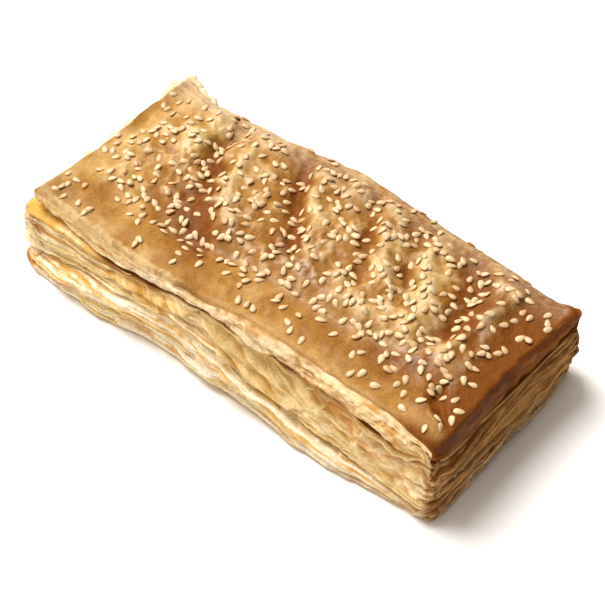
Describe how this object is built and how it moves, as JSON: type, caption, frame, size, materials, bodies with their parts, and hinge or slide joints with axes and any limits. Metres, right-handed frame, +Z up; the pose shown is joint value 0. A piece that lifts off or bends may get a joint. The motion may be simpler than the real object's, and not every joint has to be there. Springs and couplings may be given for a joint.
{
  "type": "potato boureka",
  "caption": "Long rectangular flaky pastry, baked round a filling, with a lumpy golden crust, layered side walls and sesame on top.",
  "frame": {"origin": "centre of the pastry's outline, on the surface it lies on", "axes": "+X along the long side, +Y across it from the open near side to the far side, +Z up through the crust"},
  "size_m": [0.1756, 0.0862, 0.0384],
  "materials": {
    "baked_dough": "egg-washed golden crust, satin"
  },
  "bodies": {
    "root": {"boureka": "baked_dough"}
  },
  "joints": []
}
